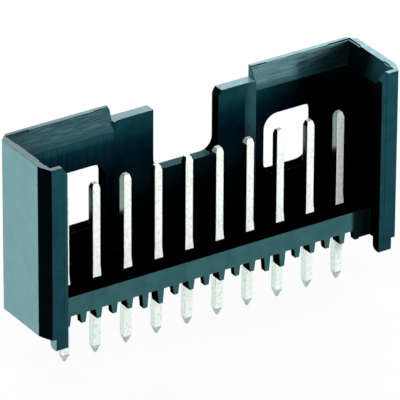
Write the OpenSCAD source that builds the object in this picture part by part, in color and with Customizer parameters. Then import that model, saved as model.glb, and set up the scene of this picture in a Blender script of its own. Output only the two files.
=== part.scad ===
// Shrouded pin header for a printed circuit board, one row of straight square pins.
// X runs along the row, +Y points to the tall back wall, +Z points away from the board.
// The origin is the middle of the pin row on the board's surface. Millimetres.

/* [Pins] */
// Number of pins in the row
pin_count = 10; // [9:1:14]
// Distance between neighbouring pins
pitch = 2.5; // [2.5:0.02:2.54]
// Width of the square pin wire
pin_w = 0.6; // [0.5:0.02:0.7]
// Height of the pin tops above the board
pin_top = 9.7; // [8.5:0.05:11.4]
// Length of the solder tails below the board's surface
pin_tail = 3.45; // [2.6:0.05:4.2]
// Length of the blunt bevel at a pin's top
top_bevel_len = 0.35; // [0.2:0.05:0.8]
// How far that bevel cuts in from each side
top_bevel_in = 0.1; // [0.05:0.01:0.18]
// Length of the point at a solder tail
point_len = 0.65; // [0.4:0.05:0.9]
// Width of the blunt end of that point
point_w = 0.16; // [0.1:0.02:0.24]

/* [Shroud] */
// Height of the shroud above the board
wall_h = 13.45; // [13.05:0.1:14.45]
// From the last pin's centre to the outer end face
end_margin = 3.25; // [3.1:0.05:3.6]
// From the pin row to the outer back face
back_reach = 3.2; // [3.1:0.05:3.6]
// From the pin row to the front of the lips
front_reach = 3.15; // [3.1:0.05:3.3]
// Thickness of the end walls
end_wall = 1.1; // [0.95:0.05:1.2]
// Thickness of the two tall flanks of the back wall
flank_wall = 1.05; // [0.95:0.05:1.2]
// Bevel of the outer back corners
back_corner = 0.65; // [0.4:0.05:0.7]
// Bevel of the outer front corners, along the row
front_corner_x = 0.45; // [0.35:0.05:0.6]
// Bevel of the outer front corners, front to back
front_corner_y = 0.95; // [0.5:0.05:1]

/* [Plug lead-in] */
// Thickness that is left at the rim of the flanks and lips
flank_rim = 0.4; // [0.35:0.05:0.6]
// Thickness that is left at the rim of the end walls
end_rim = 0.55; // [0.4:0.05:0.7]
// Height of the sloped lead-in below the rim
lead_in_h = 1.6; // [1.2:0.1:2]
// Depth of the small rabbets that thin the rim near its corners
rabbet_in = 0.1; // [0.05:0.01:0.15]
// Height of those rabbets
rabbet_h = 0.1; // [0.05:0.05:0.3]
// Length of the rabbets along the row, from a corner's inner side
rabbet_x = 1.2; // [0.8:0.1:1.8]
// Length of the rabbets front to back, from a corner's inner side
rabbet_y = 0.7; // [0.4:0.1:1.2]

/* [Back wall openings] */
// Width of the central cut-out
cutout_w = 5.3; // [4.6:0.05:5.6]
// How far the cut-out sits to the right of the row's middle
cutout_shift = 0.15; // [0:0.05:0.25]
// Height of the cut-out's lower edge above the board
cutout_z = 7.8; // [7.05:0.05:8.45]
// Radius of the cut-out's lower corners
cutout_r = 1; // [0.6:0.1:1.4]
// Width of the small bevel at the right side of the cut-out's mouth
mouth_bevel_x = 0.24; // [0.1:0.02:0.3]
// Height of that bevel
mouth_bevel_z = 0.45; // [0.2:0.05:0.6]
// Height of the low wall on each side of the cut-out
low_wall_h = 12.55; // [12.25:0.1:12.65]
// Thickness of the low wall
low_wall = 0.85; // [0.7:0.05:0.9]
// Length of each tall flank, from the outer end face
flank_len = 8.7; // [8.3:0.1:8.8]
// Length of the hollow sweep from a flank's face to the low wall's face
step_len = 0.8; // [0.5:0.05:0.9]
// Width of the latch windows
window_w = 4.4; // [3.8:0.1:4.5]
// Height of the latch windows
window_h = 4.7; // [4.2:0.05:5]
// Height of the latch windows' sill above the board
window_z = 5; // [4.65:0.05:5.25]
// Corner radius of the latch windows
window_r = 1.1; // [0.8:0.1:1.5]
// From the outer end face to the nearer side of a latch window
window_end = 3.65; // [3.4:0.05:3.7]

/* [Lips and pegs] */
// Width of each front lip, from the outer end face
lip_w = 1.75; // [1.7:0.05:1.95]
// Thickness of the lips
lip_t = 1; // [0.9:0.05:1.05]
// Width of the sloped top corner on a lip's inner side
lip_corner_x = 0.45; // [0.2:0.05:0.55]
// Height of that sloped corner
lip_corner_z = 0.65; // [0.3:0.05:0.9]
// Width of the shallow bevel down a lip's inner front edge
lip_bevel_x = 0.35; // [0.2:0.05:0.45]
// Depth of that bevel
lip_bevel_y = 0.08; // [0.04:0.02:0.12]
// Width of the locating pegs
peg_w = 1; // [0.8:0.05:1.1]
// Depth of the locating pegs, front to back
peg_d = 0.85; // [0.8:0.05:0.9]
// Length of the locating pegs below the board's surface
peg_len = 0.5; // [0.4:0.05:1.2]
// Radius at the back of a peg's lower end
peg_r = 0.4; // [0.2:0.05:0.4]
// Small bevel at the front of a peg's lower end
peg_bevel = 0.1; // [0.05:0.01:0.2]

/* [Base] */
// Height of the plug space's floor above the board
floor_z = 2.6; // [2.35:0.05:2.85]
// From the pin row to the front of the base bar
bar_reach = 1.9; // [1.7:0.05:2.05]
// Air gap between the board and the underside of the bar
standoff = 1.1; // [0.95:0.05:1.25]
// Air gap between the board and the lower edge of the walls
wall_gap = 0.45; // [0.35:0.05:0.5]
// Width of a comb tooth at the bar
tooth_root = 0.55; // [0.45:0.05:0.7]
// Width of a comb tooth at its tip
tooth_tip = 0.34; // [0.24:0.02:0.44]
// Air gap between the board and the tips of the short teeth
tooth_gap = 0.35; // [0.25:0.05:0.5]
// Depth of the deep comb teeth, front to back
tooth_deep = 0.9; // [0.7:0.1:1.1]
// Depth of the shallow comb teeth, front to back
tooth_shallow = 0.5; // [0.4:0.1:0.7]
// How far the comb sits to the left of even spacing between the pins
comb_shift = 0.2; // [0:0.05:0.25]
// Which gap between pins, counted from each end, has the long teeth that stand on the board
stand_gap = 3; // [2:1:4]

/* [Hidden] */
$fn = 64;
half_len = (pin_count - 1) * pitch / 2 + end_margin;
end_inner = half_len - end_wall;
flank_inner = back_reach - flank_wall;
low_inner = back_reach - low_wall;
lip_inner = half_len - lip_w;
lip_back = front_reach - lip_t;
flank_x = half_len - flank_len;
window_x = half_len - window_end - window_w / 2;
lead_in_z = wall_h - lead_in_h;
black_plastic = [0.07, 0.16, 0.18];
tinned_metal = [0.86, 0.88, 0.86];
// Overshoot of the cutting tools past the faces that they cut
past = 1;

function pin_x(k) = (k - (pin_count + 1) / 2) * pitch;

// Whether the teeth in the gap after pin k stand on the board
function stands(k) = k == stand_gap || k == pin_count - stand_gap;

// Extrudes a profile drawn in (Y, Z) along X, centred on the row
module along_x(length) {
    translate([-length / 2, 0, 0])
        rotate([90, 0, 90])
            linear_extrude(length)
                children();
}

// Extrudes a profile drawn in (X, Z) along Y, from y0 to y1
module along_y(y0, y1) {
    translate([0, y1, 0])
        rotate([90, 0, 0])
            linear_extrude(y1 - y0)
                children();
}

// Draws its children at +X and mirrored at -X
module both_ends() {
    children();
    mirror([1, 0, 0])
        children();
}

// A box given by its two opposite corners
module box(low, high) {
    translate(low)
        cube(high - low);
}

// Outline of the shroud seen from above
module shroud_plan() {
    side_front = half_len - front_corner_x;
    side_back = half_len - back_corner;
    polygon([
        [half_len, front_corner_y - front_reach],
        [half_len, back_reach - back_corner],
        [side_back, back_reach],
        [-side_back, back_reach],
        [-half_len, back_reach - back_corner],
        [-half_len, front_corner_y - front_reach],
        [-side_front, -front_reach],
        [side_front, -front_reach]
    ]);
}

// Hollow sweep at +X, tangent to the low wall's face, that ends in a sharp edge at the flank's face
module hollow_step() {
    depth = low_inner - flank_inner;
    radius = (step_len * step_len + depth * depth) / (2 * depth);
    intersection() {
        translate([flank_x - step_len, low_inner - radius])
            circle(radius);
        square([half_len, back_reach]);
    }
}

// Straight part of the space that takes the plug, with the low wall's face set back
module plug_space() {
    step_x = flank_x - step_len;
    translate([0, 0, floor_z])
        linear_extrude(wall_h - floor_z + past) {
            translate([-end_inner, -lip_back])
                square([2 * end_inner, lip_back + flank_inner]);
            translate([-step_x, 0])
                square([2 * step_x, low_inner]);
            both_ends()
                hollow_step();
        }
}

// Sloped mouth of the plug space: flanks, end walls and lips all thin out to the rim
module lead_in() {
    rim_x = half_len - end_rim;
    rim_back = back_reach - flank_rim;
    rim_front = front_reach - flank_rim;
    intersection() {
        along_x(2 * half_len)
            polygon([
                [-lip_back, lead_in_z],
                [flank_inner, lead_in_z],
                [rim_back, wall_h],
                [rim_back, wall_h + past],
                [-rim_front, wall_h + past],
                [-rim_front, wall_h]
            ]);
        along_y(-front_reach, back_reach)
            polygon([
                [-end_inner, lead_in_z],
                [end_inner, lead_in_z],
                [rim_x, wall_h],
                [rim_x, wall_h + past],
                [-rim_x, wall_h + past],
                [-rim_x, wall_h]
            ]);
    }
}

// Shallow steps that thin the rim at its back corners, at the lips and at the flanks' inner ends
module rim_rabbets() {
    step_z = wall_h - rabbet_h;
    side = half_len - end_rim + rabbet_in;
    back = back_reach - flank_rim + rabbet_in;
    both_ends() {
        box([end_inner - rabbet_x, flank_inner - rabbet_y, step_z], [side, back, wall_h + past]);
        box([end_inner - rabbet_x, -lip_back, step_z], [side, rabbet_y - lip_back, wall_h + past]);
        box([flank_x - past, flank_inner, step_z], [flank_x + rabbet_x, back, wall_h + past]);
    }
}

// Rounded rectangle, centred
module rounded_rect(w, h, r) {
    square([w - 2 * r, h], center = true);
    square([w, h - 2 * r], center = true);
    for (sx = [-1, 1], sy = [-1, 1])
        translate([sx * (w / 2 - r), sy * (h / 2 - r)])
            circle(r);
}

// Central cut-out of the back wall, its lower corners round and its mouth bevelled on the right
module cutout() {
    half = cutout_w / 2;
    low = cutout_z + cutout_r;
    along_y(flank_inner - past, back_reach + past)
        translate([cutout_shift, 0]) {
            translate([-half, low])
                square([cutout_w, wall_h + past - low]);
            translate([cutout_r - half, cutout_z])
                square([cutout_w - 2 * cutout_r, cutout_r]);
            for (side = [-1, 1])
                translate([side * (half - cutout_r), low])
                    circle(cutout_r);
            polygon([
                [0, low_wall_h - mouth_bevel_z],
                [half, low_wall_h - mouth_bevel_z],
                [half + mouth_bevel_x, low_wall_h],
                [0, low_wall_h]
            ]);
        }
}

// Everything that is cut from the back wall between and in the flanks
module back_openings() {
    box([-flank_x, flank_inner - past, low_wall_h], [flank_x, back_reach + past, wall_h + past]);
    cutout();
    both_ends()
        translate([window_x, 0, window_z + window_h / 2])
            along_y(flank_inner - past, back_reach + past)
                rounded_rect(window_w, window_h, window_r);
}

// Front opening between the lips, with the lips' sloped corners and shallow edge bevels
module front_opening() {
    box([-lip_inner, -front_reach - past, -past], [lip_inner, -bar_reach, wall_h + past]);
    both_ends() {
        along_y(-front_reach - past, past - lip_back)
            polygon([
                [lip_inner, wall_h - lip_corner_z],
                [lip_inner + lip_corner_x, wall_h],
                [lip_inner, wall_h]
            ]);
        translate([0, 0, -peg_len - past])
            linear_extrude(peg_len + wall_h + 2 * past)
                polygon([
                    [lip_inner, -front_reach],
                    [lip_inner + lip_bevel_x, -front_reach],
                    [lip_inner, lip_bevel_y - front_reach]
                ]);
    }
}

// Locating peg under the lip at +X
module peg() {
    back = peg_d - front_reach;
    translate([lip_inner + peg_w / 2, 0, 0])
        along_x(peg_w) {
            polygon([
                [-front_reach, wall_gap],
                [-front_reach, peg_bevel - peg_len],
                [peg_bevel - front_reach, -peg_len],
                [back - peg_r, -peg_len],
                [back - peg_r, peg_r - peg_len],
                [back, peg_r - peg_len],
                [back, wall_gap]
            ]);
            translate([back - peg_r, peg_r - peg_len])
                circle(peg_r);
        }
}

// One tapered tooth at the bar's front, a short one or a long one that reaches the board
module tooth(x, depth, long) {
    tip_z = long ? 0 : tooth_gap;
    translate([x, 0, 0])
        along_y(-bar_reach, depth - bar_reach)
            polygon([
                [-tooth_tip / 2, tip_z],
                [tooth_tip / 2, tip_z],
                [tooth_root / 2, standoff],
                [-tooth_root / 2, standoff]
            ]);
}

// Comb along the bar's lower front edge: a deep tooth on one side of each pin, a shallow one on the other.
// Behind each pair of long teeth a foot under the back wall reaches the board too.
module comb() {
    for (k = [1:pin_count]) {
        tooth(pin_x(k) - pitch / 4 - comb_shift, tooth_deep, stands(k - 1));
        tooth(pin_x(k) + pitch / 4 - comb_shift, tooth_shallow, stands(k));
        if (stands(k))
            box([pin_x(k) + pitch / 4, flank_inner, 0], [pin_x(k + 1) - pitch / 4, back_reach, standoff]);
    }
}

// Blocks that fill the bar's front from the outermost teeth to the lips
module end_blocks() {
    low = [-bar_reach, wall_gap];
    high = [tooth_shallow - bar_reach, standoff];
    left_x = pin_x(1) - pitch / 4 - comb_shift;
    right_x = pin_x(pin_count) + pitch / 4 - comb_shift;
    box([-lip_inner, low[0], low[1]], [left_x, high[0], high[1]]);
    box([right_x, low[0], low[1]], [lip_inner, high[0], high[1]]);
}

// Square press-fit hole for one pin, the pin's own width
module pin_hole() {
    box([-pin_w / 2, -pin_w / 2, standoff - past], [pin_w / 2, pin_w / 2, floor_z + past]);
}

// The one-piece plastic moulding
module housing() {
    color(black_plastic) {
        difference() {
            union() {
                translate([0, 0, wall_gap])
                    linear_extrude(wall_h - wall_gap)
                        shroud_plan();
                both_ends()
                    peg();
            }
            plug_space();
            difference() {
                lead_in();
                box([-flank_x, 0, 0], [flank_x, back_reach + past, wall_h + past]);
            }
            rim_rabbets();
            back_openings();
            front_opening();
            box([-lip_inner, -bar_reach - past, -past], [lip_inner, flank_inner, standoff]);
            for (k = [1:pin_count])
                translate([pin_x(k), 0, 0])
                    pin_hole();
        }
        comb();
        end_blocks();
    }
}

// Side profile of a pin: blunt bevelled top, sharp solder tail
module pin_profile() {
    half = pin_w / 2;
    polygon([
        [-point_w / 2, -pin_tail],
        [point_w / 2, -pin_tail],
        [half, point_len - pin_tail],
        [half, pin_top - top_bevel_len],
        [half - top_bevel_in, pin_top],
        [top_bevel_in - half, pin_top],
        [-half, pin_top - top_bevel_len],
        [-half, point_len - pin_tail]
    ]);
}

// One pin, the same profile seen from the front and from the side
module pin(k) {
    color(tinned_metal)
        translate([pin_x(k), 0, 0])
            intersection() {
                along_x(pin_w)
                    pin_profile();
                along_y(-pin_w / 2, pin_w / 2)
                    pin_profile();
            }
}

housing();
for (k = [1:pin_count])
    pin(k);
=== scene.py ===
"""Looks of the shrouded pin header: a moulded black housing and a row of tinned square pins."""
import math

import bmesh
import bpy
from mathutils import Matrix, Vector


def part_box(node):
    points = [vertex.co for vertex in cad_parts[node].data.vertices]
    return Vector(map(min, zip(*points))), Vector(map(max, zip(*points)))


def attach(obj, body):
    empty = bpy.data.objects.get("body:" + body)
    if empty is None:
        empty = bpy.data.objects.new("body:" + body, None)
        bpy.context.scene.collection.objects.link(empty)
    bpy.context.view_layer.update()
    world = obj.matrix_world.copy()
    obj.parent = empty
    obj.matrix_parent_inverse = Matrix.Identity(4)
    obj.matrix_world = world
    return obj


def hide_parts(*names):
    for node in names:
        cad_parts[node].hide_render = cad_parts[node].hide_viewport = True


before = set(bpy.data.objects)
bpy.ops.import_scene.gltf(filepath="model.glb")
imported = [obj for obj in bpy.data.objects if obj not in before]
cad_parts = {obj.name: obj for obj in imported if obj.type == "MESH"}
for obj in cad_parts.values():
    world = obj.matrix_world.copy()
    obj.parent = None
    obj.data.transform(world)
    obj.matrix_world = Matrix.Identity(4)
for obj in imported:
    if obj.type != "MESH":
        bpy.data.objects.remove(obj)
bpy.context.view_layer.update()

MM = 0.001


def box_mm(name):
    """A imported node's lowest and highest corners, in millimetres."""
    return [[value / MM for value in corner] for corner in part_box(name)]


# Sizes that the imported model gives, in millimetres like all the lengths below
PIN_COUNT = sum(name.startswith("pin_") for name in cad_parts)
pin_low, pin_high = box_mm("pin_1")
PITCH = box_mm("pin_2")[0][0] - pin_low[0]
PIN_W = pin_high[0] - pin_low[0]
PIN_TOP = pin_high[2]
PIN_TAIL = -pin_low[2]
housing_low, housing_high = box_mm("housing")
END_OUTER = housing_high[0]
LIP_FRONT = housing_low[1]
BACK = housing_high[1]

# The pins' ends, and the flare where they enter the bar
TOP_BEVEL = 0.35
TOP_W = 0.4
POINT_LEN = 0.65
POINT_W = 0.16
FOOT_W = 0.7
FOOT_RISE = 0.8
FOOT_SINK = 0.3
TAIL_TOP_Z = 1.1

# Places on the moulding that its skins follow
PLUG_FLOOR_Z = 2.6
LEAD_IN_Z = 11.85
BAR_REACH = 1.9
END_INNER = 13.4
END_ZONE_X = 12.6
FRONT_ZONE_Y = -2.0
FLANK_INNER = 2.15
FLANK_X = 5.8
STEP_LEN = 0.8
WINDOW_X = (6.45, 10.85)
WINDOW_Z = (5.0, 9.7)
CUTOUT_X = (-2.5, 2.8)
CUTOUT_Z = 7.8
CUTOUT_BEVEL = 0.3

# Rounds on the moulding and the wire
EDGE_ROUND = 0.045
EDGE_ANGLE = math.radians(12)
CORNER_ROUND = 0.3
WIRE_ROUND = 0.04
SHOULDER_ANGLE = math.radians(20)
FLAT_ANGLE = math.radians(0.5)
MERGE_GAP = 0.002


# Node trees

NODE_STEP = 220


def feed(tree, value, socket):
    """Gives a socket another node's output, or a plain value."""
    if isinstance(value, bpy.types.NodeSocket):
        tree.links.new(value, socket)
    else:
        socket.default_value = value


def node(tree, kind, feeds=None, **settings):
    """Adds a node to the right of the last one; feeds = {input's name or number: what goes in}."""
    made = tree.nodes.new(kind)
    made.location = (NODE_STEP * len(tree.nodes), 0)
    for key, value in settings.items():
        setattr(made, key, value)
    for key, value in (feeds or {}).items():
        feed(tree, value, made.inputs[key])
    return made


def number(tree, operation, a, b):
    return node(tree, "ShaderNodeMath", {0: a, 1: b}, operation=operation).outputs[0]


def between(tree, value, span, to=(0.0, 1.0)):
    """Carries a value's span over to another one, and holds it at the ends."""
    feeds = {"Value": value, "From Min": span[0], "From Max": span[1], "To Min": to[0], "To Max": to[1]}
    return node(tree, "ShaderNodeMapRange", feeds).outputs["Result"]


def noise(tree, place, scale, detail, roughness):
    feeds = {"Vector": place, "Scale": scale, "Detail": detail, "Roughness": roughness}
    return node(tree, "ShaderNodeTexNoise", feeds).outputs["Fac"]


def scaled(tree, colour, share):
    made = node(tree, "ShaderNodeVectorMath", {0: colour, "Scale": share}, operation="SCALE")
    return made.outputs["Vector"]


def ramp(tree, value, stops):
    """A colour that runs smoothly between (place, colour) stops."""
    run = node(tree, "ShaderNodeValToRGB", {"Fac": value})
    marks = run.color_ramp.elements
    while len(marks) > 1:
        marks.remove(marks[-1])
    (first, colour), *others = stops
    marks[0].position = first
    marks[0].color = (*colour, 1)
    for place, colour in others:
        marks.new(place).color = (*colour, 1)
    return run.outputs["Color"]


def by_height(tree, height, stops):
    """A colour or a number that runs smoothly between (height, value) stops from the board up."""
    low, high = stops[0][0], stops[-1][0]
    share = between(tree, height, (low * MM, high * MM))
    marks = []
    for z, value in stops:
        colour = value if isinstance(value, tuple) else (value,) * 3
        marks.append(((z - low) / (high - low), colour))
    return ramp(tree, share, marks)


def new_material(name):
    mat = bpy.data.materials.new(name)
    mat.use_nodes = True
    mat.node_tree.nodes.clear()
    return mat, mat.node_tree


# Finishes, with light and shade painted into most of the moulding's colours

# The cast of the plastic's mirror, and the parts of the noise that make patches, streaks and specks
TEAL = (0.45, 0.93, 1.0)
NOISE_SPAN = (0.3, 0.7)
STREAK_SPAN = (0.36, 0.6)
STREAK_SHARE = (0.6, 1.2)
SPECK_SPAN = (0.38, 0.5)
# How the noise is drawn out along the wire, and how deep and strong the fine relief is
DRAWN = (1, 1, 0.08)
RELIEF = 0.02
WIRE_BUMP = 0.1
TOP_HEIGHT = 13


def all_over(colour):
    """The same colour from the board to the rim."""
    return ((0, colour), (TOP_HEIGHT, colour))


def plastic(name, tones, rough, ior, shine=0.5, mottling=0.25, bump=0.02, grain=(1, 1, 1),
            mottle_scale=900.0, skin_scale=5200.0, fade=None):
    """Moulded black plastic: faint mottling, uneven gloss and a fine skin texture.

    tones = ((height, colour), ...) from the board up; the colour runs smoothly between them.
    shine = how strongly the skin mirrors, one number or (height, number) stops for a streaky polish.
    fade = (axis, (place, share), (place, share)): the colour's share at two places along an axis, used to
    paint shade or light along it."""
    mat, tree = new_material(name)
    place = node(tree, "ShaderNodeTexCoord").outputs["Object"]
    axes = node(tree, "ShaderNodeSeparateXYZ", {"Vector": place}).outputs
    stretched = node(tree, "ShaderNodeMapping", {"Vector": place, "Scale": grain}).outputs["Vector"]
    mottle = noise(tree, stretched, mottle_scale, detail=4.0, roughness=0.6)
    skin = noise(tree, stretched, skin_scale, detail=3.0, roughness=0.65)
    patches = between(tree, mottle, NOISE_SPAN, (1 - mottling, 1 + mottling))
    colour = scaled(tree, by_height(tree, axes["Z"], tones), patches)
    if fade:
        axis, (start, first), (end, last) = fade
        share = between(tree, axes[axis], (start * MM, end * MM), (first, last))
        colour = scaled(tree, colour, share)
    if isinstance(shine, tuple):
        streaks = between(tree, skin, STREAK_SPAN, STREAK_SHARE)
        shine = number(tree, "MULTIPLY", by_height(tree, axes["Z"], shine), streaks)
    relief = node(tree, "ShaderNodeBump", {"Height": skin, "Strength": bump, "Distance": RELIEF * MM})
    bsdf = node(tree, "ShaderNodeBsdfPrincipled", {
        "Base Color": colour, "Roughness": between(tree, skin, NOISE_SPAN, rough), "IOR": ior,
        "Specular IOR Level": shine, "Specular Tint": (*TEAL, 1), "Normal": relief.outputs["Normal"]})
    node(tree, "ShaderNodeOutputMaterial", {"Surface": bsdf.outputs["BSDF"]})
    return mat


def tinned_wire(name, tones, tail_tones, rough, metal):
    """Satin tin plating with drawn streaks along the wire and small dull specks; the wire takes other tones
    below the bar.

    tones and tail_tones = (dull colour, bright colour) above the bar and below it."""
    mat, tree = new_material(name)
    place = node(tree, "ShaderNodeTexCoord").outputs["Object"]
    height = node(tree, "ShaderNodeSeparateXYZ", {"Vector": place}).outputs["Z"]
    drawn = node(tree, "ShaderNodeMapping", {"Vector": place, "Scale": DRAWN}).outputs["Vector"]
    streak = noise(tree, drawn, scale=6000.0, detail=3.0, roughness=0.6)
    speck = noise(tree, place, scale=4200.0, detail=4.0, roughness=0.7)
    below, above = [ramp(tree, speck, tuple(zip(SPECK_SPAN, pair))) for pair in (tail_tones, tones)]
    share = between(tree, height, (TAIL_TOP_Z * MM, PLUG_FLOOR_Z * MM))
    colour = node(tree, "ShaderNodeMix", {"Factor": share, "A": below, "B": above}, data_type="RGBA")
    relief = node(tree, "ShaderNodeBump", {"Height": speck, "Strength": WIRE_BUMP, "Distance": RELIEF * MM})
    bsdf = node(tree, "ShaderNodeBsdfPrincipled", {
        "Base Color": colour.outputs["Result"], "Metallic": metal,
        "Roughness": between(tree, streak, NOISE_SPAN, rough), "Normal": relief.outputs["Normal"]})
    node(tree, "ShaderNodeOutputMaterial", {"Surface": bsdf.outputs["BSDF"]})
    return mat


shell_plastic = plastic("shell_plastic", all_over((0.004, 0.036, 0.044)), rough=(0.36, 0.48), ior=1.45)
# The end faces are painted much paler than the rest of the black moulding: painted light, for the light they
# catch from the left.
end_painted_light = plastic(
    "end_painted_light", all_over((0.074, 0.145, 0.151)), rough=(0.42, 0.55), ior=1.5, mottling=0.08)
# The flats across the front corners are painted near black: painted shade.
corner_painted_shade = plastic(
    "corner_painted_shade", all_over((0.0003, 0.0012, 0.0016)), rough=(0.4, 0.5), ior=1.3, shine=0.0)
lip_plastic = plastic(
    "lip_plastic", ((0, (0.005, 0.036, 0.048)), (13, (0.007, 0.053, 0.066))),
    rough=(0.36, 0.48), ior=1.25, shine=0.2)
# The bar's colour fades nearly to black at its right end: a painted shadow of the right lip.
bar_painted_shadow = plastic(
    "bar_painted_shadow", all_over((0.033, 0.103, 0.110)), rough=(0.3, 0.4), ior=1.25, shine=0.15, mottling=0.16,
    fade=("X", (11.15, 1.0), (11.4, 0.04)))
# The lead-in is painted lighter at its foot than at the rim, as painted light, and fades dark towards the
# right end, as the painted shadow of the right lip.
lead_in_painted_light_and_shadow = plastic(
    "lead_in_painted_light_and_shadow",
    ((LEAD_IN_Z, (0.018, 0.074, 0.090)), (12.2, (0.012, 0.047, 0.057)),
     (12.7, (0.006, 0.029, 0.037)), (13.5, (0.005, 0.024, 0.031))),
    rough=(0.18, 0.32), ior=1.5, shine=((LEAD_IN_Z, 0.1), (12.1, 0.2), (12.35, 0.68), (13.45, 0.84)),
    mottling=0.4, bump=0.03, grain=(0.06, 1, 1), skin_scale=11000.0, fade=("X", (9.2, 1.0), (11.6, 0.15)))
# The hollow beside the right flank is painted darker lower down, as painted shade, and lighter towards its
# outer edge, as a painted sheen.
step_painted_shade_and_sheen = plastic(
    "step_painted_shade_and_sheen",
    ((2.4, (0.0003, 0.0006, 0.0006)), (7, (0.001, 0.006, 0.008)),
     (9.6, (0.016, 0.066, 0.080)), (12.5, (0.018, 0.076, 0.090))),
    rough=(0.25, 0.35), ior=1.2, fade=("X", (FLANK_X - STEP_LEN, 0.35), (FLANK_X, 1.2)))
# The well's walls are painted darker the deeper they lie, as painted shade, and darker towards the right end,
# as the painted shadow of the right lip and end wall.
well_painted_shade = plastic(
    "well_painted_shade",
    ((2.4, (0.0002, 0.0003, 0.0003)), (6, (0.0003, 0.0012, 0.0016)),
     (7.6, (0.0005, 0.007, 0.009)), (9.6, (0.0005, 0.006, 0.012)),
     (10.7, (0.0008, 0.011, 0.018)), (11.2, (0.002, 0.024, 0.031)),
     (11.9, (0.004, 0.036, 0.044)), (12.6, (0.006, 0.040, 0.048))),
    rough=(0.2, 0.3), ior=1.2, shine=0.0, fade=("X", (5.0, 1.0), (9.5, 0.05)))
# The left flank is painted darker the deeper it lies and lightest just under the lead-in: painted shade and
# painted light.
flank_painted_shade = plastic(
    "flank_painted_shade",
    ((2.4, (0.0002, 0.0003, 0.0003)), (6, (0.0002, 0.0004, 0.0004)),
     (7.6, (0.0003, 0.0015, 0.0025)), (9.6, (0.0008, 0.007, 0.012)),
     (10.8, (0.0016, 0.015, 0.024)), (11.15, (0.002, 0.021, 0.030)),
     (11.45, (0.007, 0.043, 0.054)), (11.9, (0.014, 0.062, 0.078))),
    rough=(0.2, 0.3), ior=1.2, shine=0.0, mottling=0.45, grain=(1, 1, 0.12), mottle_scale=4200.0)
# The cut-out's sill is painted paler than the black moulding: painted light on its upper face.
sill_painted_light = plastic(
    "sill_painted_light", ((7.5, (0.016, 0.075, 0.086)), (9, (0.014, 0.068, 0.078))),
    rough=(0.36, 0.48), ior=1.25, shine=0.04)
# The end walls' lead-ins are painted dark towards the back corner and lighter towards the lip and the rim:
# painted shade of the back wall's rim.
mouth_end_painted_shade = plastic(
    "mouth_end_painted_shade", ((LEAD_IN_Z, (0.008, 0.050, 0.060)), (13.5, (0.014, 0.075, 0.085))),
    rough=(0.3, 0.4), ior=1.25, shine=0.05, fade=("Y", (0.2, 0.04), (-2.2, 1.0)))
# The rims are painted paler than the moulding, and paler still towards the right end: painted light.
rim_painted_light = plastic(
    "rim_painted_light", all_over((0.046, 0.092, 0.100)), rough=(0.26, 0.38), ior=1.5, shine=0.18,
    fade=("X", (-12.0, 0.9), (10.0, 4.4)))
# Near black, darker than the moulding: painted shade for the inner end walls, the openings' reveals and other
# faces that lie in shade.
painted_shade_black = plastic(
    "painted_shade_black",
    ((0, (0.0002, 0.0004, 0.0005)), (11, (0.0003, 0.0008, 0.001)), (13.5, (0.0006, 0.005, 0.006))),
    rough=(0.25, 0.35), ior=1.2, shine=0.0)
# The rounded edges are painted darker deep in the well than at the bar and the rim: painted shade.
edge_painted_shade = plastic(
    "edge_painted_shade",
    ((0, (0.003, 0.012, 0.015)), (2.2, (0.003, 0.012, 0.015)),
     (2.4, (0.0002, 0.0006, 0.0008)), (9.6, (0.0005, 0.003, 0.004)),
     (11.4, (0.0015, 0.010, 0.012)), (13.5, (0.002, 0.012, 0.015))),
    rough=(0.26, 0.36), ior=1.45, shine=((0, 0.2), (9.6, 0.03), (12, 0.05), (13.5, 0.12)))
HOUSING_SKINS = [
    shell_plastic, end_painted_light, corner_painted_shade, lip_plastic, bar_painted_shadow, lead_in_painted_light_and_shadow, step_painted_shade_and_sheen,
    well_painted_shade, flank_painted_shade, sill_painted_light, mouth_end_painted_shade, rim_painted_light, painted_shade_black, edge_painted_shade]

pin_rolled = tinned_wire(
    "pin_rolled", ((0.69, 0.77, 0.72), (0.865, 0.91, 0.86)), ((0.62, 0.74, 0.68), (0.84, 0.90, 0.85)),
    rough=(0.4, 0.55), metal=0.2)
# The sheared sides are painted dark above the bar and pale on the tails: painted shade inside the shroud.
pin_sheared = tinned_wire(
    "pin_sheared", ((0.15, 0.20, 0.175), (0.22, 0.29, 0.25)), ((0.54, 0.67, 0.61), (0.70, 0.82, 0.75)),
    rough=(0.12, 0.2), metal=1.0)
# The point's downward facets are painted darker than the rest of the wire: painted shade from the shadowed
# table just under them.
pin_point = tinned_wire(
    "pin_point", ((0.2, 0.28, 0.24), (0.5, 0.6, 0.55)), ((0.22, 0.31, 0.27), (0.46, 0.57, 0.51)),
    rough=(0.25, 0.4), metal=0.8)
PIN_SKINS = [pin_rolled, pin_sheared, pin_point]


# Making pieces

def placed(name, data):
    """A new object in the scene, at the origin."""
    made = bpy.data.objects.new(name, data)
    bpy.context.scene.collection.objects.link(made)
    return made


def merged(mesh):
    """A mesh to work on, with its loose triangles joined."""
    bm = bmesh.new()
    bm.from_mesh(mesh)
    bmesh.ops.remove_doubles(bm, verts=bm.verts, dist=MERGE_GAP * MM)
    return bm


def coat(mesh, skins):
    mesh.materials.clear()
    for skin in skins:
        mesh.materials.append(skin)


def soften(piece, name, width, segments, angle):
    """Rounds each edge that turns by more than the angle."""
    rounds = piece.modifiers.new(name, "BEVEL")
    rounds.width = width * MM
    rounds.segments = segments
    rounds.limit_method = "ANGLE"
    rounds.angle_limit = angle
    return rounds


# Housing

# How near a face's middle lies to its plane, for a flat face and a bevelled one
NEAR = 0.05
LOOSE = 0.2
# How much of a face's normal lies along an axis
SQUARE = 0.9
MOSTLY = 0.5
SLANT = 0.3
SLIGHT = 0.15
BARELY = 0.01
EXACTLY = 0.99


def end_face(face):
    return abs(face.normal.x) > EXACTLY


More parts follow.
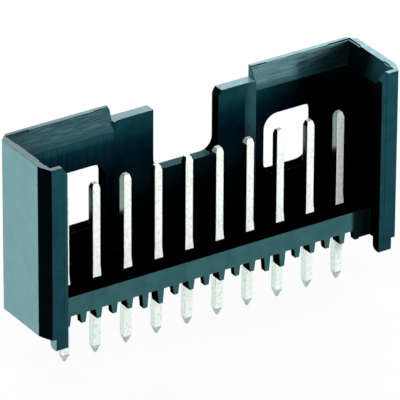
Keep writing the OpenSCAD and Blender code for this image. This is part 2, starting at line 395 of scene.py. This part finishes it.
def front_corner(face):
    """The flat across each outer front corner, from the end face to the lip."""
    c = face.calc_center_median() / MM
    n = face.normal
    in_corner = abs(c.x) > END_INNER + LOOSE and c.y < FRONT_ZONE_Y
    return in_corner and abs(n.x) > SLANT and n.y < -BARELY


def mouth_finish(c, n):
    """The skin of a sloped face of the lead-in."""
    if abs(n.y) > SLANT:
        return lead_in_painted_light_and_shadow
    return lip_plastic if c.y < FRONT_ZONE_Y else mouth_end_painted_shade


def back_wall_finish(c, n):
    """The skin of a face inside the back wall."""
    if c.x < -FLANK_X:
        return flank_painted_shade
    return step_painted_shade_and_sheen if c.x > FLANK_X - STEP_LEN and abs(n.x) > BARELY else well_painted_shade


def opening_finish(c, n):
    """The skin of a face through the back wall, in a window or the cut-out, or beside them."""
    across_window = WINDOW_X[0] - NEAR < abs(c.x) < WINDOW_X[1] + NEAR
    if across_window and WINDOW_Z[0] - NEAR < c.z < WINDOW_Z[1] + NEAR:
        return painted_shade_black
    if CUTOUT_X[0] - NEAR < c.x < CUTOUT_X[1] + CUTOUT_BEVEL and c.z > CUTOUT_Z - NEAR:
        return sill_painted_light if n.z > SQUARE and c.z < CUTOUT_Z + LOOSE else painted_shade_black
    return shell_plastic


def finish_of(face):
    """Which of the moulding's skins a face has: the tool was polished inside and eroded matt outside, and
    most skins carry painted light or shade in their colour.
    """
    c = face.calc_center_median() / MM
    n = face.normal
    outward = n.x if c.x > 0 else -n.x
    if c.z > LEAD_IN_Z - NEAR and SLIGHT < n.z < SQUARE:
        return mouth_finish(c, n)
    if n.y < -SQUARE and abs(c.y + BAR_REACH) < NEAR and c.z < PLUG_FLOOR_Z:
        return bar_painted_shadow
    if n.y < -SQUARE and c.y < LIP_FRONT + LOOSE:
        return lip_plastic
    if end_face(face) and abs(c.x) > END_OUTER - LOOSE:
        return end_painted_light
    if front_corner(face):
        return corner_painted_shade
    if c.y < FRONT_ZONE_Y and abs(n.x) > MOSTLY and n.y < -SLIGHT:
        return painted_shade_black
    if c.z < 0 and outward > BARELY and abs(c.x) > END_ZONE_X:
        return end_painted_light
    if c.z < PLUG_FLOOR_Z - NEAR:
        return painted_shade_black if abs(n.x) > SQUARE and c.y < 0 else shell_plastic
    if n.y < -MOSTLY and c.y > 0:
        return back_wall_finish(c, n)
    if outward < -MOSTLY and abs(c.x) > END_ZONE_X:
        return painted_shade_black
    if n.y > MOSTLY and c.y < 0 and abs(c.x) < END_INNER + LOOSE:
        return well_painted_shade
    if n.z > SQUARE and abs(c.z - PLUG_FLOOR_Z) < NEAR:
        return well_painted_shade
    if n.z > SQUARE and c.z > LEAD_IN_Z - LOOSE:
        return rim_painted_light
    if FLANK_INNER - NEAR < c.y < BACK - NEAR and abs(n.y) < SLANT:
        return opening_finish(c, n)
    return shell_plastic


def round_front_corners(bm):
    """Rounds the edges where the end faces meet the flats across the front corners."""
    edges = []
    for edge in bm.edges:
        if any(map(end_face, edge.link_faces)) and any(map(front_corner, edge.link_faces)):
            edges.append(edge)
    bmesh.ops.bevel(bm, geom=edges, offset=CORNER_ROUND * MM, offset_type="OFFSET", segments=4, profile=0.5,
                    affect="EDGES", clamp_overlap=True)


def make_housing():
    """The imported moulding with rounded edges, each face in its own skin."""
    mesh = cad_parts["housing"].data.copy()
    mesh.name = "header_housing"
    bm = merged(mesh)
    bmesh.ops.dissolve_limit(bm, angle_limit=FLAT_ANGLE, verts=bm.verts, edges=bm.edges)
    bm.normal_update()
    round_front_corners(bm)
    bm.normal_update()
    for face in bm.faces:
        face.material_index = HOUSING_SKINS.index(finish_of(face))
        face.smooth = True
    coat(mesh, HOUSING_SKINS)
    bm.to_mesh(mesh)
    bm.free()
    piece = placed("header_housing", mesh)
    rounds = soften(piece, "moulded_edges", EDGE_ROUND, 2, EDGE_ANGLE)
    rounds.material = HOUSING_SKINS.index(edge_painted_shade)
    flat = piece.modifiers.new("flat_faces", "WEIGHTED_NORMAL")
    flat.mode = "FACE_AREA"
    flat.weight = 100
    return piece


# Pins

PIN_SIZES = {
    "Pin count": PIN_COUNT,
    "Pitch": PITCH * MM,
    "Wire width": PIN_W * MM,
    "Top height": PIN_TOP * MM,
    "Tail depth": PIN_TAIL * MM,
    "Top bevel": TOP_BEVEL * MM,
    "Top width": TOP_W * MM,
    "Point length": POINT_LEN * MM,
    "Point width": POINT_W * MM,
    "Foot height": PLUG_FLOOR_Z * MM,
    "Foot rise": FOOT_RISE * MM,
    "Foot sink": FOOT_SINK * MM,
    "Foot width": FOOT_W * MM,
    "Finish": pin_rolled,
}


def input_kind(value):
    """The kind of socket that takes a size or a finish."""
    if isinstance(value, int):
        return "NodeSocketInt"
    return "NodeSocketFloat" if isinstance(value, float) else "NodeSocketMaterial"


def by_index(tree, values):
    """One of the values for each point, by the point's number."""
    pick = node(tree, "GeometryNodeIndexSwitch", data_type="FLOAT")
    while len(pick.index_switch_items) < len(values):
        pick.index_switch_items.new()
    feed(tree, node(tree, "GeometryNodeInputIndex").outputs["Index"], pick.inputs["Index"])
    for i, value in enumerate(values):
        feed(tree, value, pick.inputs[i + 1])
    return pick.outputs[0]


def swept_pin(tree, given):
    """A square wire swept up its own profile, from the point through the foot's flare to the bevelled top."""
    wire, foot, top = given["Wire width"], given["Foot height"], given["Top height"]
    bottom = number(tree, "MULTIPLY", given["Tail depth"], -1.0)
    stations = (
        (bottom, number(tree, "DIVIDE", given["Point width"], wire)),
        (number(tree, "ADD", bottom, given["Point length"]), 1.0),
        (number(tree, "SUBTRACT", foot, given["Foot sink"]), 1.0),
        (foot, number(tree, "DIVIDE", given["Foot width"], wire)),
        (number(tree, "ADD", foot, given["Foot rise"]), 1.0),
        (number(tree, "SUBTRACT", top, given["Top bevel"]), 1.0),
        (top, number(tree, "DIVIDE", given["Top width"], wire)))
    heights, shares = [by_index(tree, values) for values in zip(*stations)]
    line = node(tree, "GeometryNodeMeshLine", {"Count": len(stations)}).outputs["Mesh"]
    place = node(tree, "ShaderNodeCombineXYZ", {"Z": heights}).outputs["Vector"]
    lifted = node(tree, "GeometryNodeSetPosition", {"Geometry": line, "Position": place}).outputs["Geometry"]
    spine = node(tree, "GeometryNodeMeshToCurve", {"Mesh": lifted}).outputs["Curve"]
    section = node(tree, "GeometryNodeCurvePrimitiveQuadrilateral", {"Width": wire, "Height": wire})
    return node(tree, "GeometryNodeCurveToMesh", {
        "Curve": spine, "Profile Curve": section.outputs["Curve"], "Scale": shares,
        "Fill Caps": True}).outputs["Mesh"]


def pin_row_tree():
    """A pin repeated at one pitch about the middle of the row, with an input for each size."""
    tree = bpy.data.node_groups.new("pin_row", "GeometryNodeTree")
    tree.interface.new_socket("Geometry", in_out="OUTPUT", socket_type="NodeSocketGeometry")
    ids = {}
    for name, value in PIN_SIZES.items():
        socket = tree.interface.new_socket(name, in_out="INPUT", socket_type=input_kind(value))
        ids[name] = socket.identifier
    given = node(tree, "NodeGroupInput").outputs
    pin = swept_pin(tree, given)
    reach = number(tree, "MULTIPLY", number(tree, "SUBTRACT", given["Pin count"], 1.0), -0.5)
    start = number(tree, "MULTIPLY", reach, given["Pitch"])
    row = node(tree, "GeometryNodeMeshLine", {
        "Count": given["Pin count"],
        "Start Location": node(tree, "ShaderNodeCombineXYZ", {"X": start}).outputs["Vector"],
        "Offset": node(tree, "ShaderNodeCombineXYZ", {"X": given["Pitch"]}).outputs["Vector"]})
    copies = node(tree, "GeometryNodeInstanceOnPoints", {"Points": row.outputs["Mesh"], "Instance": pin})
    real = node(tree, "GeometryNodeRealizeInstances", {"Geometry": copies.outputs["Instances"]})
    plated = node(tree, "GeometryNodeSetMaterial", {
        "Geometry": real.outputs["Geometry"], "Material": given["Finish"]})
    node(tree, "NodeGroupOutput", {"Geometry": plated.outputs["Geometry"]})
    return tree, ids


def pin_finish(face):
    """Sheared on the two sides along the row, rolled on the others, cut at the point."""
    if face.normal.z < -SLIGHT:
        return pin_point
    return pin_sheared if abs(face.normal.x) > MOSTLY else pin_rolled


def make_pins():
    """The row of pins as one plain mesh, with soft wire edges."""
    tree, ids = pin_row_tree()
    maker = placed("pin_row_maker", bpy.data.meshes.new("pin_row_maker"))
    row = maker.modifiers.new("pin_row", "NODES")
    row.node_group = tree
    for name, value in PIN_SIZES.items():
        row[ids[name]] = value
    graph = bpy.context.evaluated_depsgraph_get()
    mesh = bpy.data.meshes.new_from_object(maker.evaluated_get(graph))
    bpy.data.objects.remove(maker)
    mesh.name = "pin_row"
    bm = merged(mesh)
    bmesh.ops.recalc_face_normals(bm, faces=bm.faces)
    bm.normal_update()
    coat(mesh, PIN_SKINS)
    for face in bm.faces:
        face.smooth = True
        face.material_index = PIN_SKINS.index(pin_finish(face))
    for edge in bm.edges:
        edge.smooth = edge.calc_face_angle() > SHOULDER_ANGLE
    bm.to_mesh(mesh)
    bm.free()
    piece = placed("pin_row", mesh)
    soften(piece, "wire_edges", WIRE_ROUND, 3, SHOULDER_ANGLE).harden_normals = True
    return piece


housing = make_housing()
pins = make_pins()
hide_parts("housing")
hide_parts(*["pin_%d" % k for k in range(1, PIN_COUNT + 1)])
for piece in (housing, pins):
    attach(piece, "root")


# Table, light and camera

TABLE_HALF = 3000.0
TABLE_TONES = (0.083, 0.087)
TABLE_GLOW = 0.898
WORLD_FILL = 0.2
COOL = (0.92, 0.99, 1.0)
WHITE = (1, 1, 1)

# The photograph's view, fitted to the pins, rims, windows and bar
VIEW_TURN = math.radians(32.9313)
VIEW_TILT = math.radians(27.8325)
VIEW_ROLL = 0.0056486
VIEW_DISTANCE = 414.963
VIEW_SIDE = 0.142869
VIEW_RISE = -2.924187
VIEW_CLIP = (10.0, 10000.0)
LENS_PIXELS = 6000.0
PHOTO_PIXELS = 400.0
SENSOR_WIDTH = 36.0


def table_white():
    """A pale grey that shows nearly white to the eye and in mirrors, without lighting the part."""
    mat, tree = new_material("table_white")
    place = node(tree, "ShaderNodeTexCoord").outputs["Object"]
    grain = noise(tree, place, scale=400.0, detail=2.0, roughness=0.5)
    tone = ramp(tree, grain, [(at, (grey,) * 3) for at, grey in zip(NOISE_SPAN, TABLE_TONES)])
    bsdf = node(tree, "ShaderNodeBsdfPrincipled", {
        "Base Color": tone, "Roughness": 0.9, "Specular IOR Level": 0.0})
    rays = node(tree, "ShaderNodeLightPath").outputs
    seen = number(tree, "MAXIMUM", rays["Is Camera Ray"], rays["Is Glossy Ray"])
    seen = number(tree, "MAXIMUM", seen, rays["Is Transmission Ray"])
    glow = node(tree, "ShaderNodeEmission", {"Strength": number(tree, "MULTIPLY", seen, TABLE_GLOW)})
    both = node(tree, "ShaderNodeAddShader", {0: bsdf.outputs["BSDF"], 1: glow.outputs[0]})
    node(tree, "ShaderNodeOutputMaterial", {"Surface": both.outputs[0]})
    return mat


def make_table():
    """A plain table that the pins' points touch."""
    half = TABLE_HALF * MM
    z = -PIN_TAIL * MM
    corners = [(-half, -half, z), (half, -half, z), (half, half, z), (-half, half, z)]
    mesh = bpy.data.meshes.new("table")
    mesh.from_pydata(corners, [], [(0, 1, 2, 3)])
    mesh.materials.append(table_white())
    placed("table", mesh)


def make_world():
    """A faint even fill from all round."""
    world = bpy.data.worlds.new("studio_white")
    world.use_nodes = True
    tree = world.node_tree
    tree.nodes.clear()
    fill = node(tree, "ShaderNodeBackground", {"Color": (*WHITE, 1), "Strength": WORLD_FILL})
    node(tree, "ShaderNodeOutputWorld", {"Surface": fill.outputs[0]})
    bpy.context.scene.world = world


def softbox(name, place, aim, size, radiance, colour=WHITE):
    """A rectangular soft light, its brightness given as what a mirror would show."""
    light = bpy.data.lights.new(name, "AREA")
    light.shape = "RECTANGLE"
    light.color = colour
    light.size = size[0] * MM
    light.size_y = size[1] * MM
    light.energy = radiance * math.pi * light.size * light.size_y
    lamp = placed(name, light)
    lamp.location = Vector(place) * MM
    lamp.rotation_euler = (Vector(aim) - Vector(place)).to_track_quat("-Z", "Y").to_euler()


def make_camera():
    """A long lens from the front left, above the rim."""
    ahead = Vector((
        math.sin(VIEW_TURN) * math.cos(VIEW_TILT),
        math.cos(VIEW_TURN) * math.cos(VIEW_TILT),
        -math.sin(VIEW_TILT)))
    flat_right = Vector((math.cos(VIEW_TURN), -math.sin(VIEW_TURN), 0))
    flat_up = flat_right.cross(ahead)
    right = math.cos(VIEW_ROLL) * flat_right + math.sin(VIEW_ROLL) * flat_up
    up = math.cos(VIEW_ROLL) * flat_up - math.sin(VIEW_ROLL) * flat_right
    target = Vector((0, 0, PLUG_FLOOR_Z))
    centre = target - VIEW_SIDE * right - VIEW_RISE * up - VIEW_DISTANCE * ahead
    lens = bpy.data.cameras.new("photo_view")
    lens.sensor_width = SENSOR_WIDTH
    lens.lens = LENS_PIXELS / PHOTO_PIXELS * SENSOR_WIDTH
    lens.clip_start = VIEW_CLIP[0] * MM
    lens.clip_end = VIEW_CLIP[1] * MM
    camera = placed("photo_view", lens)
    camera.matrix_world = Matrix((
        (right.x, up.x, -ahead.x, centre.x * MM),
        (right.y, up.y, -ahead.y, centre.y * MM),
        (right.z, up.z, -ahead.z, centre.z * MM),
        (0, 0, 0, 1)))
    bpy.context.scene.camera = camera


make_table()
make_world()
softbox("left_card", place=(-140, 8, 12), aim=(-14, 0, 6), size=(60, 18), radiance=82.0, colour=COOL)
softbox("back_card", place=(85, 135, 70), aim=(0, 0, 8), size=(220, 130), radiance=4.2, colour=COOL)
softbox("front_card", place=(76, -97, 18), aim=(0, 0, 12), size=(12, 12), radiance=92.0)
softbox("key_card", place=(117, -92, 33), aim=(0, 0, 6), size=(16, 30), radiance=54.0)
softbox("fill_card", place=(-45, -120, 20), aim=(0, 0, 6), size=(60, 40), radiance=9.5)
softbox("top_card", place=(-20, -40, 160), aim=(0, 0, 0), size=(160, 160), radiance=1.5)
make_camera()
bpy.context.scene.view_settings.view_transform = "Standard"

bpy.context.view_layer.update()
